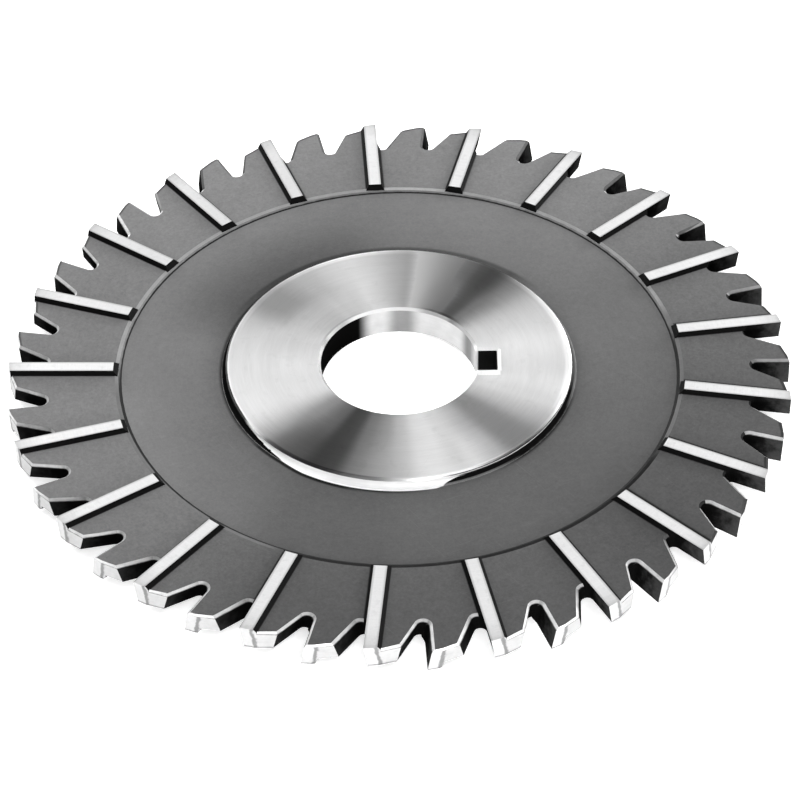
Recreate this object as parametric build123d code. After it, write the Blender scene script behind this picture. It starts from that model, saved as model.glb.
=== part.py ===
from build123d import *
import math
import os

# Side milling cutter, staggered tooth, side chip clearance, one solid of high-speed steel.
# Frame: origin at the centre of the bore, half way through the thickness; +Z along the
# bore axis; +X towards the keyway. Lengths in millimetres, angles in degrees.
# The cutter turns clockwise when it is seen from +Z.

# ---- driving dimensions ----
outer_radius = 63.5          # tips of the teeth
cut_width = 4.7625           # over the side lands of both faces
bore_radius = 12.7
hub_radius = 28.15           # outer edge of the ground hub face
hub_width = 5.40             # over both hub faces
hub_edge = 0.30              # edge break round the hub face
hub_foot = 0.75              # fillet where the hub wall meets the web
web_width = 2.54             # web between hub and toothed rim
recess_radius = 45.05        # foot of the sloped wall round the web
recess_run = 0.50            # run of that wall
recess_edge = 0.60           # run of the soft edge at its top
recess_edge_drop = 0.11      # fall of that edge
floor_width = 3.42           # across the tooth sides, between the side lands

tooth_count = 42             # peripheral teeth; side lands alternate between the faces
first_land = 7.342           # direction of the first side land on the +Z face
land_width = 2.08            # side land, measured along the cut
land_offset = 0.20           # cutting edge of a land behind its radial line
land_slope = 0.48            # run of the sloped walls of a land
land_start = 46.35           # inner end of the lands
shear_angle = 10.0           # alternate shear of the rake faces

gullet_floor = 57.25         # lowest radius of a gullet
gullet_root = 1.00           # root fillet of a gullet
gullet_back = 31.0           # back slope of a gullet from the radial direction
gullet_edge = 0.42           # edge break along a gullet
relief_length = 1.60         # primary land on the periphery
relief_angle = 8.0
clearance_angle = 20.0
corner_edge = 0.40           # depth of the edge break along the periphery

keyway_width = 4.7625
keyway_reach = 16.0          # keyway floor from the bore axis
keyway_corner = 0.25
bore_edge = 0.42             # edge break round the bore and the keyway

half_width = cut_width / 2
half_floor = floor_width / 2
half_web = web_width / 2
half_hub = hub_width / 2
shear = math.tan(math.radians(shear_angle))
pitch = 360.0 / tooth_count
blank_radius = outer_radius + 0.4
slack = 0.03


# ---- turned blank: hub, web, sloped recess wall, rim at the level of the tooth sides ----
def half_profile(sign):
    wall_top = recess_radius + recess_run
    return [
        (bore_radius, sign * half_hub),
        (hub_radius - hub_edge, sign * half_hub),
        (hub_radius, sign * (half_hub - hub_edge)),
        (hub_radius, sign * half_web),
        (recess_radius, sign * half_web),
        (wall_top, sign * (half_floor - recess_edge_drop)),
        (wall_top + recess_edge, sign * half_floor),
        (blank_radius, sign * half_floor),
    ]


outline = half_profile(1) + half_profile(-1)[::-1]
with BuildPart() as blank:
    with BuildSketch(Plane.XZ):
        with BuildLine():
            Polyline(*outline, close=True)
        make_face()
    revolve(axis=Axis.Z)
    feet = (
        blank.edges()
        .filter_by(GeomType.CIRCLE)
        .filter_by(lambda e: abs(e.radius - hub_radius) < 1e-3)
        .filter_by(lambda e: abs(abs(e.center().Z) - half_web) < 1e-3)
    )
    fillet(feet, hub_foot)

body = blank.part


def local_plane(direction, z):
    """Plane at height z; its x axis is the radial line of a tooth, its y axis points
    along the trailing side of the tooth."""
    a = math.radians(direction)
    return Plane(
        origin=(0, 0, z),
        x_dir=(math.cos(a), math.sin(a), 0),
        z_dir=(0, 0, 1),
    )


def between(direction, side, levels):
    """Ruled solid through flat outlines; levels is a list of (height, outline)."""
    faces = []
    for z, wires in levels:
        faces.append(local_plane(direction, side * z) * make_face(wires))
    if faces[0].center().Z > faces[-1].center().Z:
        faces.reverse()
    return loft(faces, ruled=True)


# ---- side lands: straight bars with sloped walls and a sloped inner end ----
def land(direction, side):
    levels = []
    for z in (half_web + 0.15, half_width):
        down = half_width - z
        out = land_slope * down / (half_width - half_floor)
        r0, r1 = land_start - down, blank_radius
        t0, t1 = land_offset - out, land_offset + land_width + out
        levels.append((z, Polyline((r0, t0), (r1, t0), (r1, t1), (r0, t1), close=True)))
    return between(direction, side, levels)


bars = []
for k in range(tooth_count):
    side = 1 if k % 2 == 0 else -1
    bars.append(land(first_land + k * pitch, side))
body = body + bars


# ---- gullets and peripheral relief, sheared alternately ----
def rake_place(side, z):
    """Tangential place of a rake face at height z, for a tooth whose land is on side."""
    return land_offset + shear * (half_width - side * z)


def gullet_outline(place, grow, reach, clip=None):
    """Outline of the gullet ahead of a rake face that stands at `place`, moved outwards
    by `grow`; with `clip` the outline ends that far ahead of the rake face."""
    b = math.radians(gullet_back)
    root = gullet_root + grow
    centre_r = gullet_floor + gullet_root
    centre_t = place - gullet_root
    touch = (centre_r - root * math.sin(b), centre_t - root * math.cos(b))
    run = (reach - touch[0]) * math.tan(b)
    if clip is None:
        edge = place + grow
        foot = (centre_r, edge)
        start = math.pi / 2
    else:
        edge = place - clip
        start = math.pi - math.asin((edge - centre_t) / root)
        foot = (centre_r + root * math.cos(start), edge)
    end = 1.5 * math.pi - b
    low = (
        centre_r + root * math.cos((start + end) / 2),
        centre_t + root * math.sin((start + end) / 2),
    )
    return (
        Polyline((reach, edge), foot)
        + ThreePointArc(foot, low, touch)
        + Polyline(touch, (reach, touch[1] - run), (reach, edge))
    )


def relief_outline(side, z, lower=(0.0, 0.0, 0.0), start=None):
    """Space outside the primary land and the clearance of a tooth; `lower` sinks the
    line at the cutting edge, at the end of the primary land and at the heel."""
    place = rake_place(side, z)
    tip = math.sqrt(outer_radius**2 - rake_place(side, 0) ** 2)
    far = 7.6
    drop = relief_length * math.tan(math.radians(relief_angle))
    fall = math.tan(math.radians(clearance_angle))
    edge = (tip - lower[0], place)
    bend = (tip - drop - lower[1], place + relief_length)
    heel = (tip - drop - (far - relief_length) * fall - lower[2], place + far)
    line = [edge, bend, heel]
    if start is not None:
        share = (start - bend[1]) / (heel[1] - bend[1])
        line = [(bend[0] + share * (heel[0] - bend[0]), start), heel]
    top = outer_radius + 3.0
    return Polyline(*line, (top, line[-1][1]), (top, line[0][1]), close=True)


def tilted(side, direction):
    """Direction of a rake edge from the -Z face to the +Z face."""
    a = math.radians(direction)
    return Vector(math.sin(a) * side * shear, -math.cos(a) * side * shear, 1.0)


cutters = []
tall = half_width + 1.0
for k in range(tooth_count):
    side = 1 if k % 2 == 0 else -1
    direction = first_land + k * pitch
    along = tilted(side, direction)
    start = local_plane(direction, -tall)
    place = rake_place(side, -tall)

    # gullet in front of the tooth; primary land and clearance behind its edge
    gullet = start * make_face(gullet_outline(place, 0.0, outer_radius + 3.0))
    cutters.append(extrude(gullet, amount=2 * tall * along.length, dir=along))
    relief = start * make_face(relief_outline(side, -tall))
    cutters.append(extrude(relief, amount=2 * tall * along.length, dir=along))

    for face in (1, -1):
        own = face == side
        # edge break of the gullet; the rake edge of a land stays sharp
        levels = []
        for depth, grow in ((-slack, gullet_edge + slack), (gullet_edge + slack, -slack)):
            z = half_floor - depth
            clip = land_slope + 0.14 if own else None
            line = gullet_outline(rake_place(side, face * z), grow, outer_radius + 2.0, clip)
            levels.append((z, line))
        cutters.append(between(direction, face, levels))

        # edge break of the periphery, wider towards the heel
        levels = []
        begin = land_offset + land_width + land_slope + 0.02 if own else None
        for depth, lower in (
            (-slack, (0.10, 0.26, 0.52)),
            (corner_edge + slack, (-slack, -slack, -slack)),
        ):
            z = half_floor - depth
            levels.append((z, relief_outline(side, face * z, lower, begin)))
        cutters.append(between(direction, face, levels))

body = body - cutters

# ---- keyway and edge breaks of the bore ----
with BuildPart() as key:
    with BuildSketch(Plane.XY.offset(-half_hub - 1)):
        with Locations((keyway_reach / 2, 0)):
            Rectangle(keyway_reach, keyway_width)
    extrude(amount=hub_width + 2)
    corners = (
        key.edges()
        .filter_by(Axis.Z)
        .filter_by(lambda e: abs(e.center().X - keyway_reach) < 1e-3)
    )
    fillet(corners, keyway_corner)
body = body - key.part

rims = (
    body.edges()
    .filter_by(lambda e: abs(abs(e.center().Z) - half_hub) < 1e-3)
    .filter_by(lambda e: math.hypot(e.center().X, e.center().Y) < keyway_reach + 0.5)
    .filter_by(lambda e: e.bounding_box().max.X < keyway_reach + 0.5)
)
body = chamfer(rims, bore_edge)

solids = body.solids()
print("solids", len(solids), "volume", round(body.volume, 1), "faces", len(body.faces()))

os.makedirs("parts", exist_ok=True)
cutter_body = solids.sort_by(SortBy.VOLUME)[-1]
cutter_body.label = "cutter_body"
export_step(cutter_body, "parts/cutter_body.step")
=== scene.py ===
import bpy
import bmesh
import math
from mathutils import Matrix, Vector


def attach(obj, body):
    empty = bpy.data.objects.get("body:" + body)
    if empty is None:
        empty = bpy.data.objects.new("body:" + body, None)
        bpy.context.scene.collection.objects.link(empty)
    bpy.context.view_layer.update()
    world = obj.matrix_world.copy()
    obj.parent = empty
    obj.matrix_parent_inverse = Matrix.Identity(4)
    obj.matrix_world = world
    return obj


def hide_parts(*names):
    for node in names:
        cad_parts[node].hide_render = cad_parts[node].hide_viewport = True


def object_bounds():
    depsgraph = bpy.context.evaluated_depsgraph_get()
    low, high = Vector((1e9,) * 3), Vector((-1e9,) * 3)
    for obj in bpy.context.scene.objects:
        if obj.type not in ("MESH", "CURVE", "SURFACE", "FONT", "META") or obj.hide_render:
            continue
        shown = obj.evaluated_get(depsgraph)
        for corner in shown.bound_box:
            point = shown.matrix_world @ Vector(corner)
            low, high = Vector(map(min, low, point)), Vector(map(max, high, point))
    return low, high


# Side milling cutter: looks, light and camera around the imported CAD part.
# Lengths in the notes are millimetres; Blender works in metres.

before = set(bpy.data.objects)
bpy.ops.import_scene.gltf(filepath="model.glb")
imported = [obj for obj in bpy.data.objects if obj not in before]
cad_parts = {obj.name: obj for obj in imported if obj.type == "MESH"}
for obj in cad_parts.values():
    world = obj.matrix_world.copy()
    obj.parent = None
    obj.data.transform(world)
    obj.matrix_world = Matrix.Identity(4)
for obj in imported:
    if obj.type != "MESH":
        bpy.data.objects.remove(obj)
cad_box = [list(v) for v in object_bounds()]
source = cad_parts["cutter_body"]
scene = bpy.context.scene
MM = 0.001

# Layout of the teeth, as in the CAD part.
PITCH = 360.0 / 42
FIRST_LAND = 7.342
LAND_OFFSET = 0.20
LAND_MIDDLE = 0.20 + 2.08 / 2
LAND_HALF = 2.08 / 2
LAND_FOOT = LAND_HALF + 0.48
HALF_WIDTH = 4.7625 / 2
SHEAR = math.tan(math.radians(10.0))


# ---------------------------------------------------------------- shader nodes
class Net:
    """A material with short calls for its nodes. Coordinates are object coordinates in mm."""

    def __init__(self, name):
        self.mat = bpy.data.materials.new(name)
        self.mat.use_nodes = True
        self.tree = self.mat.node_tree
        self.tree.nodes.clear()
        self.out = self.node("ShaderNodeOutputMaterial")
        self.bsdf = self.node("ShaderNodeBsdfPrincipled")
        self.tree.links.new(self.bsdf.outputs[0], self.out.inputs["Surface"])
        geo = self.node("ShaderNodeTexCoord")
        scale = self.vec("SCALE", geo.outputs["Object"], scale=1000.0)
        self.p = scale
        split = self.node("ShaderNodeSeparateXYZ")
        self.tree.links.new(scale, split.inputs[0])
        self.x, self.y, self.z = split.outputs
        self.height = self.m("ABSOLUTE", self.z)
        self.r = self.m(
            "SQRT", self.m("ADD", self.m("MULTIPLY", self.x, self.x), self.m("MULTIPLY", self.y, self.y))
        )
        self.ux = self.m("DIVIDE", self.x, self.r)
        self.uy = self.m("DIVIDE", self.y, self.r)
        self.angle = self.m("ARCTAN2", self.y, self.x)

    def node(self, kind, **props):
        n = self.tree.nodes.new(kind)
        for k, v in props.items():
            setattr(n, k, v)
        return n

    def put(self, socket, value):
        if isinstance(value, bpy.types.NodeSocket):
            self.tree.links.new(value, socket)
        else:
            socket.default_value = value

    def m(self, op, a, b=None, c=None, clamp=False):
        n = self.node("ShaderNodeMath", operation=op, use_clamp=clamp)
        for i, v in enumerate((a, b, c)):
            if v is not None:
                self.put(n.inputs[i], v)
        return n.outputs[0]

    def vec(self, op, a, b=None, scale=None):
        n = self.node("ShaderNodeVectorMath", operation=op)
        self.put(n.inputs[0], a)
        if b is not None:
            self.put(n.inputs[1], b)
        if scale is not None:
            self.put(n.inputs["Scale"], scale)
        return n.outputs[0]

    def xyz(self, x, y, z):
        n = self.node("ShaderNodeCombineXYZ")
        for i, v in enumerate((x, y, z)):
            self.put(n.inputs[i], v)
        return n.outputs[0]

    def span(self, value, a, b, low=0.0, high=1.0, smooth=True):
        """value from a to b gives low to high, level outside."""
        n = self.node("ShaderNodeMapRange", interpolation_type="SMOOTHSTEP" if smooth else "LINEAR")
        n.clamp = True
        for i, v in enumerate((value, a, b, low, high)):
            self.put(n.inputs[i], v)
        return n.outputs[0]

    def band(self, value, centre, half, soft):
        """1 within half of centre, falling to 0 over soft."""
        off = self.m("ABSOLUTE", self.m("SUBTRACT", value, centre))
        return self.span(off, half + soft, half, 0.0, 1.0)

    def sector(self, middle, half, soft):
        """1 within half degrees of a direction round the axis, falling to 0 over soft."""
        c, s = math.cos(math.radians(middle)), math.sin(math.radians(middle))
        along = self.m("ADD", self.m("MULTIPLY", self.ux, c), self.m("MULTIPLY", self.uy, s))
        return self.span(along, math.cos(math.radians(half + soft)), math.cos(math.radians(half)))

    def wedge(self, middle, half, soft):
        """Like sector, with an even fade over soft degrees."""
        c, s = math.cos(math.radians(middle)), math.sin(math.radians(middle))
        along = self.m("ADD", self.m("MULTIPLY", self.ux, c), self.m("MULTIPLY", self.uy, s))
        off = self.m("DEGREES", self.m("ARCCOSINE", self.m("MINIMUM", along, 1.0)))
        return self.span(off, half + soft, half, 0.0, 1.0, False)

    def painted_lit_side(self):
        """Part of the hub side where a painted highlight lies: 0 to 1 round the axis."""
        return self.m("MULTIPLY", self.wedge(260, 22, 27), self.wedge(246, 35, 9))

    def clear_side(self):
        """Part of the disc where the foot of the hub is as grey as the web: 0 to 1."""
        return self.m("MAXIMUM", self.wedge(14, 24, 12), self.wedge(290, 10, 12))

    def toward(self, direction):
        """Distance in mm along a direction in the plane of the disc."""
        c, s = math.cos(math.radians(direction)), math.sin(math.radians(direction))
        return self.m("ADD", self.m("MULTIPLY", self.x, c), self.m("MULTIPLY", self.y, s))

    def tooth_place(self):
        """Distance in mm behind the radial line of the tooth a point belongs to and behind its
        cutting edge at that height; the face its side land is on, 1 or -1."""
        steps = self.m("DIVIDE", self.m("SUBTRACT", self.m("DEGREES", self.angle), FIRST_LAND), PITCH)
        tooth = self.m("FLOOR", steps)
        odd = self.m("FLOORED_MODULO", tooth, 2.0)
        side = self.m("SUBTRACT", 1.0, self.m("MULTIPLY", odd, 2.0))
        arc = self.times(self.m("SUBTRACT", steps, tooth), math.radians(PITCH), self.r)
        lag = self.m("SUBTRACT", HALF_WIDTH, self.m("MULTIPLY", side, self.z))
        back = self.m("SUBTRACT", arc, self.m("ADD", self.m("MULTIPLY", lag, SHEAR), LAND_OFFSET))
        return arc, back, side

    def inside_rim(self):
        """Distance in mm from the outer edge of a tooth side, inwards."""
        arc, back, side = self.tooth_place()
        fall = self.m("ADD", self.span(back, 0.0, 1.6, 0.10, 0.49, False), self.span(back, 1.6, 7.6, 0.0, 2.44, False))
        out = self.m("SUBTRACT", self.r, self.m("MULTIPLY", self.m("MULTIPLY", arc, arc), 0.5 / 60.0))
        return self.m("SUBTRACT", self.m("SUBTRACT", 63.49, fall), out)

    def beside_land(self):
        """Distance in mm to the middle line of the nearest side land of the same face, on its
        leading side and on its trailing side."""
        shift = self.span(self.z, -0.1, 0.1, FIRST_LAND + PITCH, FIRST_LAND)
        steps = self.m("DIVIDE", self.m("SUBTRACT", self.m("DEGREES", self.angle), shift), 2 * PITCH)
        near = self.m("SUBTRACT", steps, self.m("ROUND", steps))
        arc = self.m("SINE", self.m("RADIANS", self.m("MULTIPLY", near, 2 * PITCH)))
        off = self.m("SUBTRACT", self.m("MULTIPLY", arc, self.r), LAND_MIDDLE)
        return self.m("SUBTRACT", 0.0, off), off

    def noise(self, vector, scale, detail=2.0, rough=0.55, warp=0.0):
        n = self.node("ShaderNodeTexNoise", noise_dimensions="3D")
        self.put(n.inputs["Vector"], vector)
        for k, v in (("Scale", scale), ("Detail", detail), ("Roughness", rough), ("Distortion", warp)):
            n.inputs[k].default_value = v
        return n.outputs[0]

    def around(self, along, across):
        """Vector for marks that run round the axis: `along` marks per radian, `across` per mm."""
        return self.xyz(
            self.m("MULTIPLY", self.ux, along), self.m("MULTIPLY", self.uy, along), self.m("MULTIPLY", self.r, across)
        )

    def scratches(self, turn, length, width, low, high, seed):
        """Thin straight scratches in the plane of the disc, at an angle of `turn` degrees."""
        c, s = math.cos(math.radians(turn)), math.sin(math.radians(turn))
        u = self.m("ADD", self.m("MULTIPLY", self.x, c), self.m("MULTIPLY", self.y, s))
        v = self.m("SUBTRACT", self.m("MULTIPLY", self.y, c), self.m("MULTIPLY", self.x, s))
        at = self.xyz(self.m("MULTIPLY", u, 1.0 / length), self.m("MULTIPLY", v, 1.0 / width), seed)
        return self.span(self.noise(at, 1.0, 1.0, 0.5, 0.15), low, high)

    def total(self, *parts):
        """Sum of (socket, weight) terms around their mean of one half, plus one."""
        value = None
        for socket, weight in parts:
            term = self.m("MULTIPLY", self.m("SUBTRACT", socket, 0.5), weight)
            value = term if value is None else self.m("ADD", value, term)
        return self.m("ADD", value, 1.0)

    def times(self, *values):
        out = values[0]
        for v in values[1:]:
            out = self.m("MULTIPLY", out, v)
        return out

    def colour(self, value, tint=(1.0, 1.0, 1.0)):
        """Grey value with a small constant tint, as a colour."""
        n = self.node("ShaderNodeCombineColor")
        for i in range(3):
            self.put(n.inputs[i], value if tint[i] == 1.0 else self.m("MULTIPLY", value, tint[i]))
        return n.outputs[0]

    def bump(self, height, distance, strength=1.0, normal=None):
        n = self.node("ShaderNodeBump")
        n.inputs["Strength"].default_value = strength
        n.inputs["Distance"].default_value = distance
        self.put(n.inputs["Height"], height)
        if normal is not None:
            self.put(n.inputs["Normal"], normal)
        return n.outputs[0]

    def finish(self, colour, roughness, normal, metallic, specular=0.5, aniso=0.0, turn=0.0):
        i = self.bsdf.inputs
        self.put(i["Base Color"], colour)
        self.put(i["Roughness"], roughness)
        self.put(i["Metallic"], metallic)
        if normal is not None:
            self.put(i["Normal"], normal)
        i["Specular IOR Level"].default_value = specular
        i["Anisotropic"].default_value = aniso
        i["Anisotropic Rotation"].default_value = turn
        if aniso:
            t = self.node("ShaderNodeTangent", direction_type="RADIAL", axis="Z")
            self.put(i["Tangent"], t.outputs[0])
        return self.mat


TINT = (1.0, 1.0, 1.003)


def satin_steel(name, level, lands=False):
    """Blackened face, rubbed to a dull grey: web and tooth sides. Painted light and shade lie over it:
    lighter towards one side of the disc, darker close to the hub and at the foot of the hub and lands."""
    n = Net(name)
    cloud = n.noise(n.p, 0.11, 2.0, 0.5)
    mottle = n.noise(n.p, 0.75, 3.0, 0.6)
    grain = n.noise(n.p, 5.0, 3.0, 0.7)
    turned = n.noise(n.around(5.0, 5.5), 1.0, 2.0, 0.6)
    scratch_a = n.scratches(23, 9.0, 0.11, 0.70, 0.78, 3.1)
    scratch_b = n.scratches(-52, 12.0, 0.10, 0.72, 0.80, 8.7)
    marks = n.m("MAXIMUM", scratch_a, scratch_b)
    speck = n.noise(n.p, 2.1, 2.0, 0.65)
    tone = n.total((cloud, 0.16), (mottle, 0.22), (grain, 0.30), (turned, 0.12), (speck, 0.50 if lands else 0.26))
    # Painted light and shade: the face is lighter towards one side of the disc, lighter or darker in several sectors,
    # and darker towards the hub.
    painted_gradient = n.m("ADD", n.m("MULTIPLY", n.toward(108), 0.0060), 0.96)
    painted_gradient = n.m("ADD", painted_gradient, n.m("MULTIPLY", n.sector(60, 6, 30), n.span(n.r, 30.0, 48.0, 0.05, 0.20)))
    painted_gradient = n.m("ADD", painted_gradient, n.m("MULTIPLY", n.sector(212, 10, 26), n.span(n.r, 34.0, 46.0, 0.03, 0.22)))
    # Painted shade: dark patches on the web, a large one beside the hub on one side and a faint one further out.
    painted_shade = n.m("MULTIPLY", n.sector(130, 10, 32), n.span(n.r, 30.0, 47.0, 0.52, 0.0))
    painted_shade = n.m("ADD", painted_shade, n.m("MULTIPLY", n.sector(338, 18, 24), n.span(n.r, 36.0, 48.0, 0.05, 0.13)))
    painted_gradient = n.m("SUBTRACT", painted_gradient, painted_shade)
    painted_gradient = n.times(painted_gradient, n.span(n.r, 28.9, 33.0, 0.95, 1.0))
    for middle, half, soft, factor in ((60, 28, 30, 0.87), (195, 18, 30, 1.09), (252, 8, 14, 0.92)):
        painted_gradient = n.times(painted_gradient, n.span(n.wedge(middle, half, soft), 0.0, 1.0, 1.0, factor))
    # Painted shadow: a darker ring on the web just behind the hub.
    painted_shadow_behind = n.m("MULTIPLY", n.sector(90, 40, 30), n.span(n.r, 30.0, 30.7, 0.5, 0.0))
    # Painted shade at the foot of the hub: a dark ring on the web round it, left out where clear_side says, and a dark
    # line just outside its lit side.
    outer = n.span(n.painted_lit_side(), 0.7, 1.0, 28.80, 29.12, False)
    past = n.m("SUBTRACT", n.r, outer)
    foot = n.m("MAXIMUM", n.span(past, 0.07, 0.72, 0.75, 0.0), painted_shadow_behind)
    foot = n.m("MULTIPLY", foot, n.m("SUBTRACT", 1.0, n.clear_side()))
    under = n.times(n.span(past, 0.08, 0.13, 0.0, 0.85), n.span(past, 0.80, 0.40), n.wedge(236, 16, 8))
    foot = n.m("MAXIMUM", foot, under)
    if lands:
        # Painted shade: a dark strip on the tooth side along the foot of each side land, wider on its trailing side
        # and there wider on one side of the disc.
        lead, trail = n.beside_land()
        outside = n.m("GREATER_THAN", n.r, 46.0)
        left = n.span(n.m("SUBTRACT", lead, LAND_FOOT), 0.02, 0.22, 0.6, 0.0)
        reach = n.span(n.sector(345, 26, 16), 0.0, 1.0, 0.20, 0.75)
        right = n.span(n.m("DIVIDE", n.m("SUBTRACT", trail, LAND_FOOT), reach), 0.35, 1.0, 0.8, 0.0)
        side = n.m("GREATER_THAN", lead, 0.0)
        beside = n.m("ADD", n.times(left, side), n.times(right, n.m("SUBTRACT", 1.0, side)))
        foot = n.m("MULTIPLY", beside, outside)
        # Painted shade along the outer edge of the tooth sides over about half of the disc.
        brim = n.times(n.span(n.inside_rim(), 0.15, 0.50, 0.60, 0.0), n.wedge(75, 98, 14))
        foot = n.m("MAXIMUM", foot, brim)
    line = n.m("SUBTRACT", 1.0, foot)
    tone = n.times(tone, painted_gradient, line, level)
    tone = n.m("ADD", tone, n.m("MULTIPLY", marks, 0.030))
    # Painted highlight: the web just beside the lit side of the hub is made bright.
    if not lands:
        tone = n.m("ADD", tone, n.span(past, -0.08, 0.04, 0.95, 0.0))
    rough = n.m("MULTIPLY", n.total((mottle, 0.25), (grain, 0.30)), 0.46)
    rough = n.m("SUBTRACT", rough, n.m("MULTIPLY", marks, 0.10))
    height = n.m("ADD", n.m("MULTIPLY", grain, 1.0), n.m("MULTIPLY", turned, 0.8))
    height = n.m("SUBTRACT", height, n.m("MULTIPLY", marks, 0.5))
    return n.finish(n.colour(tone, TINT), rough, n.bump(height, 0.006 * MM), 0.0, 0.015)


def ground_ring(name, level, rough_level, aniso=0.93, metallic=1.0, painted_fans=(), edge=False):
    """Face ground on a rotary table: marks run round the axis."""
    n = Net(name)
    fine = n.noise(n.around(9.0, 16.0), 1.0, 2.0, 0.6)
    wide = n.noise(n.around(2.5, 2.2), 1.0, 2.0, 0.5)
    cloud = n.noise(n.p, 0.16, 2.0, 0.5)
    stain = n.span(n.noise(n.p, 0.42, 3.0, 0.6, 0.4), 0.56, 0.72)
    scratch_a = n.scratches(64, 7.0, 0.07, 0.735, 0.80, 5.3)
    scratch_b = n.scratches(-17, 10.0, 0.07, 0.745, 0.80, 1.9)
    marks = n.m("MAXIMUM", scratch_a, scratch_b)
    # Painted highlight: a bright frame round the mouth of the keyway.
    front = n.times(n.span(n.y, -4.30, -3.85), n.m("LESS_THAN", n.y, -2.0), n.span(n.x, 12.3, 12.9), n.span(n.x, 16.8, 16.2))
    end = n.times(n.span(n.x, 16.85, 16.50), n.m("GREATER_THAN", n.x, 16.3), n.span(n.y, -3.2, -2.9), n.span(n.y, 2.5, 2.2))
    slot = n.m("MAXIMUM", front, end)
    # Painted highlight along the outer edge of the face, stronger in two sectors, and painted shade there in one
    # sector.
    rim = n.span(n.sector(243, 14, 14), 0.0, 1.0, 1.22, 0.45)
    rim = n.m("ADD", 1.0, n.m("MULTIPLY", n.m("SUBTRACT", rim, 1.0), n.span(n.r, 27.40, 27.75)))
    wear_and_highlight = n.m("MAXIMUM", n.m("MULTIPLY", n.wedge(125, 28, 18), 0.28), n.m("MULTIPLY", n.wedge(12, 30, 12), 0.28))
    rim = n.m("MULTIPLY", rim, n.m("ADD", 1.0, n.m("MULTIPLY", wear_and_highlight, n.span(n.r, 26.75, 27.30))))
    painted_light = n.m("MAXIMUM", rim, n.span(slot, 0.0, 1.0, 0.0, 1.35))
    # Painted shade close to the bore in one sector.
    bore_side_shade = n.span(n.times(n.span(n.r, 13.95, 13.35), n.wedge(58, 9, 12)), 0.0, 1.0, 1.0, 0.55)
    tone = n.times(n.total((fine, 0.18), (wide, 0.14), (cloud, 0.06)), painted_light, bore_side_shade, level)
    # Painted highlight and shade fans round the face.
    for middle, half, soft, near, far in painted_fans:
        factor = near if near == far else n.span(n.r, 17.5, 24.0, near, far)
        tone = n.times(tone, n.span(n.wedge(middle, half, soft), 0.0, 1.0, 1.0, factor))
    # Painted highlight near the bore and painted shade further out, in one sector.
    inner = n.times(n.span(n.r, 13.3, 13.6), n.span(n.r, 22.0, 17.5), n.wedge(140, 14, 10), 0.25)
    outer = n.times(n.span(n.r, 19.0, 23.0), n.wedge(143, 4, 9), 0.24)
    tone = n.m("MULTIPLY", tone, n.m("SUBTRACT", n.m("ADD", 1.0, inner), outer))
    # Painted shade on the outer part of the edge break, all round but the front-left.
    if edge:
        past = n.m("SUBTRACT", n.r, n.span(n.wedge(122, 80, 14), 0.0, 1.0, 28.02, 27.80))
        tone = n.times(tone, n.m("MAXIMUM", n.span(past, -0.03, 0.05, 1.0, 0.06), n.wedge(248, 34, 6)))
    tone = n.m("SUBTRACT", tone, n.m("MULTIPLY", stain, 0.03))
    tone = n.m("SUBTRACT", tone, n.m("MULTIPLY", marks, 0.10))
    rough = n.m("MULTIPLY", n.total((fine, 0.22), (wide, 0.18), (cloud, 0.10)), rough_level)
    rough = n.m("ADD", rough, n.m("MULTIPLY", stain, 0.03))
    height = n.m("ADD", fine, n.m("MULTIPLY", wide, 0.4))
    height = n.m("SUBTRACT", height, n.m("MULTIPLY", marks, 0.8))
    return n.finish(n.colour(tone, TINT), rough, n.bump(height, 0.0012 * MM), metallic, 0.5, aniso, AN_TURN)


AN_TURN = 0.25


def bore_steel(name, level):
    """Honed bore wall: marks run round the wall; painted shade blackens one part of it and greys a narrow patch and a
    streak.
    """
    n = Net(name)
    at = n.xyz(n.m("MULTIPLY", n.ux, 4.0), n.m("MULTIPLY", n.uy, 4.0), n.m("MULTIPLY", n.z, 14.0))
    fine = n.noise(at, 1.0, 2.0, 0.6)
    cloud = n.noise(n.p, 0.5, 2.0, 0.5)
    tone = n.times(n.total((fine, 0.22), (cloud, 0.30)), level)
    # Painted shade: black over one part of the wall, grey in a narrow patch and along a streak.
    dark = n.wedge(158, 36, 13)
    painted_fans = n.wedge(87, 3, 12)
    tone = n.times(tone, n.span(dark, 0.0, 1.0, 1.0, 0.004), n.span(painted_fans, 0.0, 1.0, 1.0, 0.45))
    tone = n.m("MULTIPLY", tone, n.times(n.span(n.wedge(25, 2, 11), 0.0, 1.0, 1.0, 0.28), n.span(n.wedge(10, 6, 4), 0.0, 1.0, 1.0, 0.80)))
    rough = n.m("MULTIPLY", n.total((fine, 0.25), (cloud, 0.25)), 0.32)
    metal = n.span(dark, 0.0, 1.0, 0.9, 0.0)
    return n.finish(n.colour(tone, TINT), rough, n.bump(fine, 0.0015 * MM), metal, 0.0)


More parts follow.
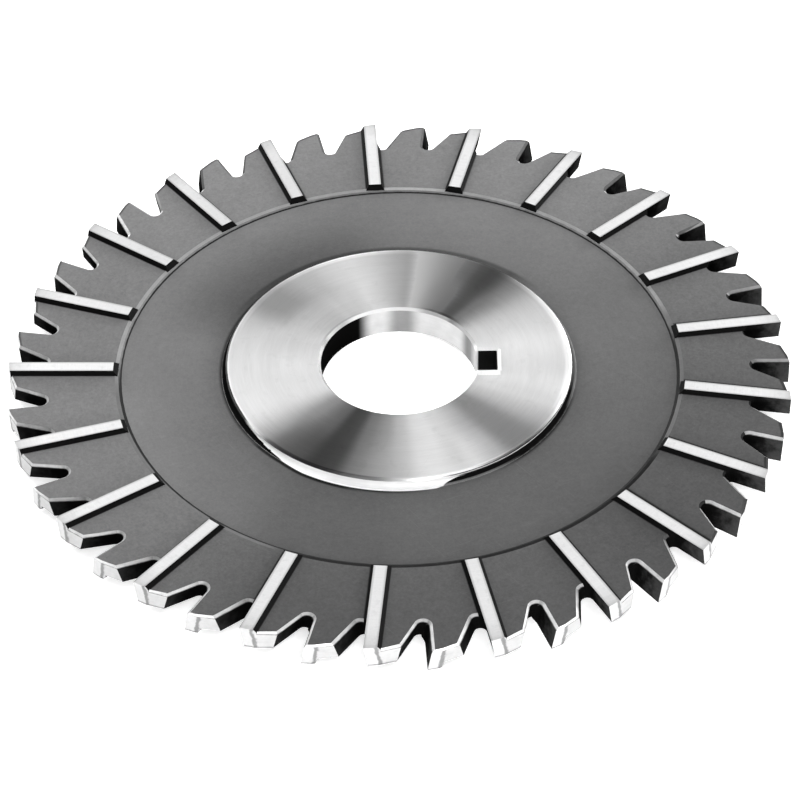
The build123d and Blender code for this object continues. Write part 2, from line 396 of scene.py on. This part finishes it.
def hub_side_steel(name, level, dark_level, painted_light=None):
    """Turned side of the hub: a painted highlight on the side the lamps would light, black painted shade elsewhere."""
    n = Net(name)
    at = n.xyz(n.m("MULTIPLY", n.ux, 9.0), n.m("MULTIPLY", n.uy, 9.0), n.m("MULTIPLY", n.z, 9.0))
    fine = n.noise(at, 1.0, 2.0, 0.6)
    cloud = n.noise(n.p, 0.5, 2.0, 0.5)
    if painted_light:
        bright = n.wedge(*painted_light)
    else:
        floor = n.span(n.painted_lit_side(), 0.0, 0.75, 2.08, 1.18, False)
        bright = n.span(n.m("SUBTRACT", n.height, floor), -0.04, 0.08)
    tone = n.times(n.total((fine, 0.14), (cloud, 0.12)), n.span(bright, 0.0, 1.0, dark_level, level))
    # Painted highlight: brighter in one sector.
    tone = n.m("MULTIPLY", tone, n.span(n.sector(222, 12, 20), 0.0, 1.0, 1.0, 1.22))
    # Painted highlight along the top of the wall at the front-right; the painted shade is lifted towards grey at the
    # outer foot, on one side and where clear_side says.
    low = n.times(n.span(n.r, 28.60, 28.90), n.m("SUBTRACT", 1.0, bright), 0.07)
    high = n.times(n.span(n.height, 2.12, 2.30), n.sector(315, 30, 12), n.m("SUBTRACT", 1.0, bright), 0.5)
    lift = n.times(n.wedge(12, 16, 10), n.m("SUBTRACT", 1.0, bright), 0.055)
    lift = n.m("MAXIMUM", lift, n.times(n.clear_side(), n.span(n.r, 28.42, 28.60), n.m("SUBTRACT", 1.0, bright), 0.13))
    tone = n.m("ADD", tone, n.m("ADD", n.m("ADD", low, high), lift))
    rough = n.m("MULTIPLY", n.total((fine, 0.25), (cloud, 0.2)), 0.42)
    metal = n.m("MULTIPLY", bright, 0.12)
    return n.finish(n.colour(tone, TINT), rough, n.bump(fine, 0.003 * MM), metal, 0.0)


def keyway_steel(name, level):
    """Broached slot: straight marks along the axis."""
    n = Net(name)
    at = n.xyz(n.m("MULTIPLY", n.x, 9.0), n.m("MULTIPLY", n.y, 9.0), n.m("MULTIPLY", n.z, 0.7))
    fine = n.noise(at, 1.0, 2.0, 0.6)
    cloud = n.noise(n.p, 0.8, 2.0, 0.5)
    # Painted shadow: the slot is nearly black past x = 13 mm; its mouth by the bore is bright.
    tone = n.times(n.total((fine, 0.35), (cloud, 0.30)), n.span(n.x, 12.78, 13.02, 0.85, level))
    rough = n.m("MULTIPLY", n.total((fine, 0.25), (cloud, 0.2)), 0.42)
    return n.finish(n.colour(tone, TINT), rough, n.bump(fine, 0.003 * MM), 0.0, 0.02)


def side_land_steel(name, level):
    """Side land, ground flat: short marks cross it; it is darker towards the tip end and along its edges."""
    n = Net(name)
    fine = n.noise(n.around(14.0, 9.0), 1.0, 3.0, 0.65)
    cross = n.noise(n.around(3.0, 3.5), 1.0, 2.0, 0.5)
    grain = n.noise(n.p, 4.5, 2.0, 0.7)
    wear_and_highlight = n.span(n.noise(n.p, 0.9, 3.0, 0.6), 0.50, 0.72)
    tone = n.total((fine, 0.16), (cross, 0.10), (grain, 0.10))
    tip = n.m("MULTIPLY", n.span(n.r, 58.5, 63.2, 1.0, 0.84), n.span(n.r, 62.3, 63.4, 1.0, 0.85))
    lead, trail = n.beside_land()
    border = n.m("MINIMUM", n.m("SUBTRACT", LAND_HALF, lead), n.m("SUBTRACT", LAND_HALF, trail))
    ragged = n.m("ADD", border, n.m("MULTIPLY", n.m("SUBTRACT", wear_and_highlight, 0.5), 0.12))
    tone = n.times(tone, tip, n.span(ragged, 0.0, 0.38, 0.72, 1.0), level)
    # Painted shade: the lands are darker on one side of the disc.
    tone = n.m("MULTIPLY", tone, n.span(n.wedge(135, 20, 20), 0.0, 1.0, 1.0, 0.82))
    tone = n.m("SUBTRACT", tone, n.m("MULTIPLY", wear_and_highlight, 0.07))
    rough = n.m("MULTIPLY", n.total((fine, 0.2), (grain, 0.2), (wear_and_highlight, 0.1)), 0.42)
    return n.finish(n.colour(tone, TINT), rough, n.bump(fine, 0.0022 * MM), 0.35)


def rim_steel(name, level, rough_level, metallic=0.55):
    """Ground lands on the periphery: marks run with the cut."""
    n = Net(name)
    at = n.xyz(n.m("MULTIPLY", n.ux, 22.0), n.m("MULTIPLY", n.uy, 22.0), n.m("MULTIPLY", n.z, 8.0))
    fine = n.noise(at, 1.0, 3.0, 0.65)
    cloud = n.noise(n.p, 0.9, 3.0, 0.6)
    arc, back, side = n.tooth_place()
    ragged = n.m("ADD", back, n.m("MULTIPLY", n.m("SUBTRACT", cloud, 0.5), 1.1))
    seam = n.band(ragged, 1.85, 0.08, 0.42)
    # Painted shadow: the lowest part of each land is darker.
    low = n.m("SUBTRACT", n.z, n.m("SUBTRACT", n.m("MULTIPLY", side, 0.535), 1.845))
    line = n.span(n.m("ADD", low, n.m("MULTIPLY", n.m("SUBTRACT", cloud, 0.5), 0.3)), 0.12, 0.30, 0.45, 1.0)
    tone = n.times(n.total((fine, 0.24), (cloud, 0.34)), level, n.span(seam, 0.0, 1.0, 1.0, 0.42), line)
    # Painted shade: the lands of the back teeth are darker.
    tone = n.m("MULTIPLY", tone, n.span(n.wedge(90, 66, 14), 0.0, 1.0, 1.0, 0.40))
    rough = n.m("MULTIPLY", n.total((fine, 0.2), (cloud, 0.3)), rough_level)
    return n.finish(n.colour(tone, TINT), rough, n.bump(fine, 0.0025 * MM), metallic)


def edge_steel(name, level, painted_fans=None, metallic=0.6, specular=0.4):
    """Bright edge breaks, with painted shade towards the gullet root; the optional direction, half angle and level
    give painted shade over one sector.
    """
    n = Net(name)
    grain = n.noise(n.p, 3.5, 3.0, 0.7)
    cloud = n.noise(n.p, 0.8, 2.0, 0.5)
    # Painted shade towards the gullet root.
    root = n.span(n.r, 57.0, 58.6, 0.62, 1.0)
    tone = n.times(n.total((grain, 0.35), (cloud, 0.55)), root, level)
    # Painted shade over one sector.
    if painted_fans:
        black = n.sector(painted_fans[0], painted_fans[1], 20)
        tone = n.times(tone, n.span(black, 0.0, 1.0, 1.0, painted_fans[2]))
        metallic = n.span(black, 0.0, 1.0, metallic, 0.0)
    tone = n.m("MULTIPLY", tone, n.span(n.m("ADD", n.height, n.m("MULTIPLY", cloud, 0.08)), 1.36, 1.46, 0.1, 1.0))
    rough = n.m("MULTIPLY", n.total((grain, 0.3), (cloud, 0.2)), 0.38)
    return n.finish(n.colour(tone, TINT), rough, n.bump(grain, 0.004 * MM), metallic, 0.0 if painted_fans else specular)


def gullet_steel(name, low, high):
    """Milled and blackened gullet; painted shade makes it darkest at its root and darker on the back teeth."""
    n = Net(name)
    at = n.xyz(n.m("MULTIPLY", n.x, 0.9), n.m("MULTIPLY", n.y, 0.9), n.m("MULTIPLY", n.z, 5.0))
    mill = n.noise(at, 1.0, 3.0, 0.6)
    cloud = n.noise(n.p, 0.7, 3.0, 0.6)
    grain = n.noise(n.p, 6.0, 2.0, 0.7)
    patchy = n.m("ADD", n.r, n.m("MULTIPLY", n.m("SUBTRACT", cloud, 0.5), 7.0))
    # Painted shade: darkest at the root, and darker still on the back teeth.
    base = n.span(patchy, 58.6, 63.6, low, high)
    black = n.span(n.wedge(68, 40, 12), 0.0, 1.0, 1.0, 0.35)
    tone = n.times(n.total((mill, 0.45), (cloud, 0.40), (grain, 0.3)), base, black)
    rough = n.m("MULTIPLY", n.total((mill, 0.25), (cloud, 0.25)), 0.46)
    height = n.m("ADD", mill, n.m("MULTIPLY", grain, 0.4))
    return n.finish(n.colour(tone, TINT), rough, n.bump(height, 0.008 * MM), 0.0, 0.0)


def recess_edge_steel(name, level):
    """Soft edge over the recess wall: a painted highlight on one side of the disc, black painted shade on the other.
    """
    n = Net(name)
    grain = n.noise(n.p, 3.5, 3.0, 0.7)
    cloud = n.noise(n.p, 0.8, 2.0, 0.5)
    # Painted shade in one sector, painted highlight in another.
    black = n.sector(290, 36, 14)
    bright = n.sector(100, 76, 14)
    tone = n.times(n.total((grain, 0.30), (cloud, 0.25)), n.span(black, 0.0, 1.0, 1.0, 0.08))
    tone = n.times(tone, n.span(bright, 0.0, 1.0, 0.42, 1.0), n.span(n.wedge(87, 5, 4), 0.0, 1.0, 1.0, 1.3), level)
    rough = n.m("MULTIPLY", n.total((grain, 0.3), (cloud, 0.2)), 0.42)
    metal = n.m("MULTIPLY", bright, 0.3)
    return n.finish(n.colour(tone, TINT), rough, n.bump(grain, 0.004 * MM), metal, 0.05)


def recess_wall_steel(name, level):
    """Sloped wall of the recess: black at its foot; a painted highlight brightens its top on one side of the disc."""
    n = Net(name)
    cloud = n.noise(n.p, 0.8, 3.0, 0.6)
    grain = n.noise(n.p, 6.0, 2.0, 0.7)
    top = n.m("ADD", n.height, n.m("MULTIPLY", n.m("SUBTRACT", cloud, 0.5), 0.10))
    # Painted highlight on the top of the wall on one side of the disc.
    painted_light = n.m("MULTIPLY", n.span(top, 1.36, 1.50), n.sector(95, 78, 16))
    tone = n.times(n.total((cloud, 0.35), (grain, 0.30)), n.span(painted_light, 0.0, 1.0, level, level * 9))
    rough = n.m("MULTIPLY", n.total((cloud, 0.2), (grain, 0.3)), 0.50)
    return n.finish(n.colour(tone, TINT), rough, n.bump(grain, 0.006 * MM), 0.0, 0.02)


def black_wall(name, level, specular=0.02):
    """Untouched oxide on the sloped walls of the lands and of the recess."""
    n = Net(name)
    cloud = n.noise(n.p, 0.8, 3.0, 0.6)
    grain = n.noise(n.p, 6.0, 2.0, 0.7)
    tone = n.times(n.total((cloud, 0.35), (grain, 0.30)), level)
    rough = n.m("MULTIPLY", n.total((cloud, 0.2), (grain, 0.3)), 0.55)
    return n.finish(n.colour(tone, TINT), rough, n.bump(grain, 0.006 * MM), 0.0, specular)


# Painted highlight and painted shade fans on the hub face: direction, half angle, fade, factor near the bore, far from
# it.
HUB_PAINTED_FANS = (
    (70, 8, 9, 1.75, 1.75),
    (54, 2, 6, 0.66, 0.66),
    (55, 6, 5, 1.18, 0.83),
    (62, 3, 3, 1.00, 0.82),
    (71, 3, 4, 1.05, 1.25),
    (76, 4, 6, 1.10, 1.20),
    (118, 5, 6, 0.90, 0.95),
    (231, 5, 6, 1.32, 0.84),
    (244, 3, 6, 0.64, 0.58),
    (260, 3, 6, 0.84, 0.94),
    (281, 3, 6, 1.08, 1.10),
    (301, 4, 6, 1.00, 1.22),
    (316, 4, 8, 0.78, 0.78),
    (329, 5, 6, 1.14, 1.14),
)

materials = {
    "web": satin_steel("web_oxide", 0.151),
    "floor": satin_steel("tooth_side_oxide", 0.151, True),
    "soft_edge": recess_edge_steel("recess_edge", 0.34),
    "recess": recess_wall_steel("recess_wall", 0.020),
    "hub": ground_ring("hub_face_ground", 0.62, 0.43, painted_fans=HUB_PAINTED_FANS),
    "hub_edge": ground_ring("hub_edge_ground", 0.54, 0.44, edge=True),
    # hub_wall and hub_foot: the bright level is a painted highlight, the dark level painted shade; the wall's sector
    # is where its highlight is painted.
    "hub_wall": hub_side_steel("hub_wall_turned", 0.76, 0.012, (250, 34, 8)),
    "hub_foot": hub_side_steel("hub_foot_turned", 0.78, 0.004),
    "bore": bore_steel("bore_honed", 0.64),
    # bore_edge: painted shade in three sectors.
    "bore_edge": ground_ring("bore_edge_ground", 0.74, 0.42, 0.0, 0.2, ((186, 26, 12, 0.30, 0.30), (146, 10, 14, 0.50, 0.50), (33, 14, 6, 0.55, 0.55))),
    # keyway: its dark level is a painted shadow.
    "keyway": keyway_steel("keyway_broached", 0.006),
    "land": side_land_steel("side_land_ground", 0.82),
    "land_wall": black_wall("side_land_wall", 0.004),
    "primary": rim_steel("tip_land_ground", 0.60, 0.36),
    "secondary": rim_steel("tip_clearance_ground", 0.52, 0.42),
    "gullet_edge": edge_steel("gullet_edge_break", 0.56, None, 0.25),
    # Edge breaks of the back teeth, darkened with painted shade.
    "gullet_edge_mid": edge_steel("gullet_edge_break_half_shaded", 0.26, None, 0.1, 0.1),
    "gullet_edge_shaded": edge_steel("gullet_edge_break_shaded", 0.10, None, 0.0, 0.0),
    # rim_edge: painted shade over one sector.
    "rim_edge": edge_steel("rim_edge_break", 0.80, (0, 38, 0.05), 0.3),
    "gullet": gullet_steel("gullet_oxide", 0.004, 0.014),
    "rake": gullet_steel("rake_face", 0.005, 0.038),
}
order = list(materials)


# ---------------------------------------------------------------- faces by kind
def kind(centre, normal):
    """Which surface of the cutter a face belongs to, from its middle and its normal."""
    x, y, z = (v / MM for v in centre)
    r = math.hypot(x, y)
    h = abs(z)
    up = abs(normal.z)
    outward = (normal.x * x + normal.y * y) / max(r, 1e-9)
    flat = up > 0.9965
    if r < 16.9:
        if flat and h > 2.6:
            return "hub"
        if up > 0.25:
            return "bore_edge"
        return "bore" if outward < -0.97 and r < 12.9 else "keyway"
    if r < 29.4:
        if h > 2.6 and flat:
            return "hub"
        if h < 1.35 and flat:
            return "web"
        if up < 0.2:
            return "hub_wall"
        return "hub_edge" if h > 2.3 else "hub_foot"
    if flat:
        if h > 2.2:
            return "land"
        return "floor" if h > 1.5 else "web"
    if r < 45.56 and up > 0.3 and h < 1.62:
        return "recess"
    if up > 0.93:
        return "soft_edge"
    if 0.3 < up:
        if h > 1.712:
            return "land_wall"
        if outward > 0.5:
            return "rim_edge"
        # Edge breaks on the back teeth take the painted-shade materials.
        place = math.degrees(math.atan2(y, x))
        if 34 < place < 131:
            return "gullet_edge_shaded"
        return "gullet_edge_mid" if -12 < place < 141 else "gullet_edge"
    if r > 60.4 and outward > 0.972:
        return "primary"
    if r > 60.4 and outward > 0.82:
        return "secondary"
    turn = (normal.y * x - normal.x * y) / max(r, 1e-9)
    return "rake" if r > 58.25 and turn < -0.93 else "gullet"


mesh = source.data.copy()
mesh.name = "side_milling_cutter"
cutter = bpy.data.objects.new("side_milling_cutter", mesh)
scene.collection.objects.link(cutter)
mesh.materials.clear()
for name in order:
    mesh.materials.append(materials[name])
for f in mesh.polygons:
    f.material_index = order.index(kind(f.center, f.normal))

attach(cutter, "root")
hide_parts("cutter_body")

# ---------------------------------------------------------------- floor
low = cad_box[0][2]
bm = bmesh.new()
bmesh.ops.create_circle(bm, cap_ends=True, segments=96, radius=4.0)
floor_mesh = bpy.data.meshes.new("studio_floor")
bm.to_mesh(floor_mesh)
bm.free()
floor = bpy.data.objects.new("studio_floor", floor_mesh)
floor.location = (0, 0, low)
scene.collection.objects.link(floor)
paper = Net("pale_floor")
soft = paper.noise(paper.p, 0.02, 2.0, 0.5)
paper.finish(paper.colour(paper.m("MULTIPLY", paper.total((soft, 0.02)), 0.90)), 0.9, None, 0.0, 0.1)
# The floor glows: its emission lights the cutter from below and washes out its cast shadow; it glows less near the
# cutter.
glow = paper.span(paper.r, 150.0, 800.0, 0.60, 1.0)
paper.put(paper.bsdf.inputs["Emission Color"], paper.colour(glow))
paper.bsdf.inputs["Emission Strength"].default_value = 1.0
floor_mesh.materials.append(paper.mat)

# ---------------------------------------------------------------- light
def softbox(name, direction, distance, width, height, power, spread=180.0):
    """Rectangular softbox that faces the cutter from a direction."""
    light = bpy.data.lights.new(name, "AREA")
    light.shape = "RECTANGLE"
    light.size, light.size_y = width, height
    light.energy = power
    light.spread = math.radians(spread)
    o = bpy.data.objects.new(name, light)
    d = Vector(direction).normalized()
    o.location = d * distance
    o.rotation_mode = "QUATERNION"
    o.rotation_quaternion = d.to_track_quat("Z", "Y")
    scene.collection.objects.link(o)
    return o


# Softboxes 0.35 m away: elevation, direction from +X, power.
rig = (
    (8, 25.7, 0.805),
    (8, 51.4, 0.581),
    (8, 77.1, 0.055),
    (8, 102.9, 0.438),
    (8, 128.6, 0.376),
    (8, 257.1, 0.120),
    (8, 282.9, 0.700),
    (8, 308.6, 0.300),
    (24, 12.9, 0.117),
    (24, 38.6, 0.303),
    (24, 64.3, 0.051),
    (24, 141.4, 0.256),
    (24, 167.1, 0.059),
    (24, 244.3, 0.116),
    (40, 120.0, 0.047),
    (40, 150.0, 0.350),
    (56, 300.0, 0.154),
    (72, 0.0, 0.244),
    (90, 180.0, 0.188),
)
for i, (rise, around, power) in enumerate(rig):
    e, a = math.radians(rise), math.radians(around)
    way = (math.cos(a) * math.cos(e), math.sin(a) * math.cos(e), math.sin(e))
    softbox(f"softbox_{i:02d}", way, 0.35, 0.1046, 0.1046, power)

world = bpy.data.worlds.new("studio")
scene.world = world
world.use_nodes = True
wt = world.node_tree
wt.nodes.clear()
w_out = wt.nodes.new("ShaderNodeOutputWorld")
w_mix = wt.nodes.new("ShaderNodeMixShader")
w_path = wt.nodes.new("ShaderNodeLightPath")
w_seen = wt.nodes.new("ShaderNodeBackground")
w_lit = wt.nodes.new("ShaderNodeBackground")
w_seen.inputs["Color"].default_value = (1, 1, 1, 1)
w_seen.inputs["Strength"].default_value = 1.0
w_lit.inputs["Color"].default_value = (1, 1, 1, 1)
w_lit.inputs["Strength"].default_value = 0.02
wt.links.new(w_path.outputs["Is Camera Ray"], w_mix.inputs[0])
wt.links.new(w_lit.outputs[0], w_mix.inputs[1])
wt.links.new(w_seen.outputs[0], w_mix.inputs[2])
wt.links.new(w_mix.outputs[0], w_out.inputs[0])

# ---------------------------------------------------------------- camera
el, roll = math.radians(42.486), math.radians(0.840)
unit = 63.5 * MM
back = Vector((0, -math.cos(el), math.sin(el)))
right = Vector((1, 0, 0))
upward = back.cross(right)
c, s = math.cos(roll), math.sin(roll)
cam_x, cam_y = c * right - s * upward, s * right + c * upward
place = (back * 7.719 + right * 0.0013 - upward * 0.0991) * unit + Vector((0, 0, 0.0375 * unit))
camera = bpy.data.cameras.new("camera")
camera.sensor_fit = "HORIZONTAL"
camera.sensor_width = 36.0
camera.lens = 3018.14 / 800 * 36.0
camera.clip_start, camera.clip_end = 0.02, 20.0
cam = bpy.data.objects.new("camera", camera)
cam.matrix_world = Matrix(
    (
        (cam_x.x, cam_y.x, back.x, place.x),
        (cam_x.y, cam_y.y, back.y, place.y),
        (cam_x.z, cam_y.z, back.z, place.z),
        (0, 0, 0, 1),
    )
)
scene.collection.objects.link(cam)
scene.camera = cam

scene.view_settings.view_transform = "Standard"
scene.view_settings.look = "None"
scene.view_settings.exposure = 0.0
scene.view_settings.gamma = 1.0
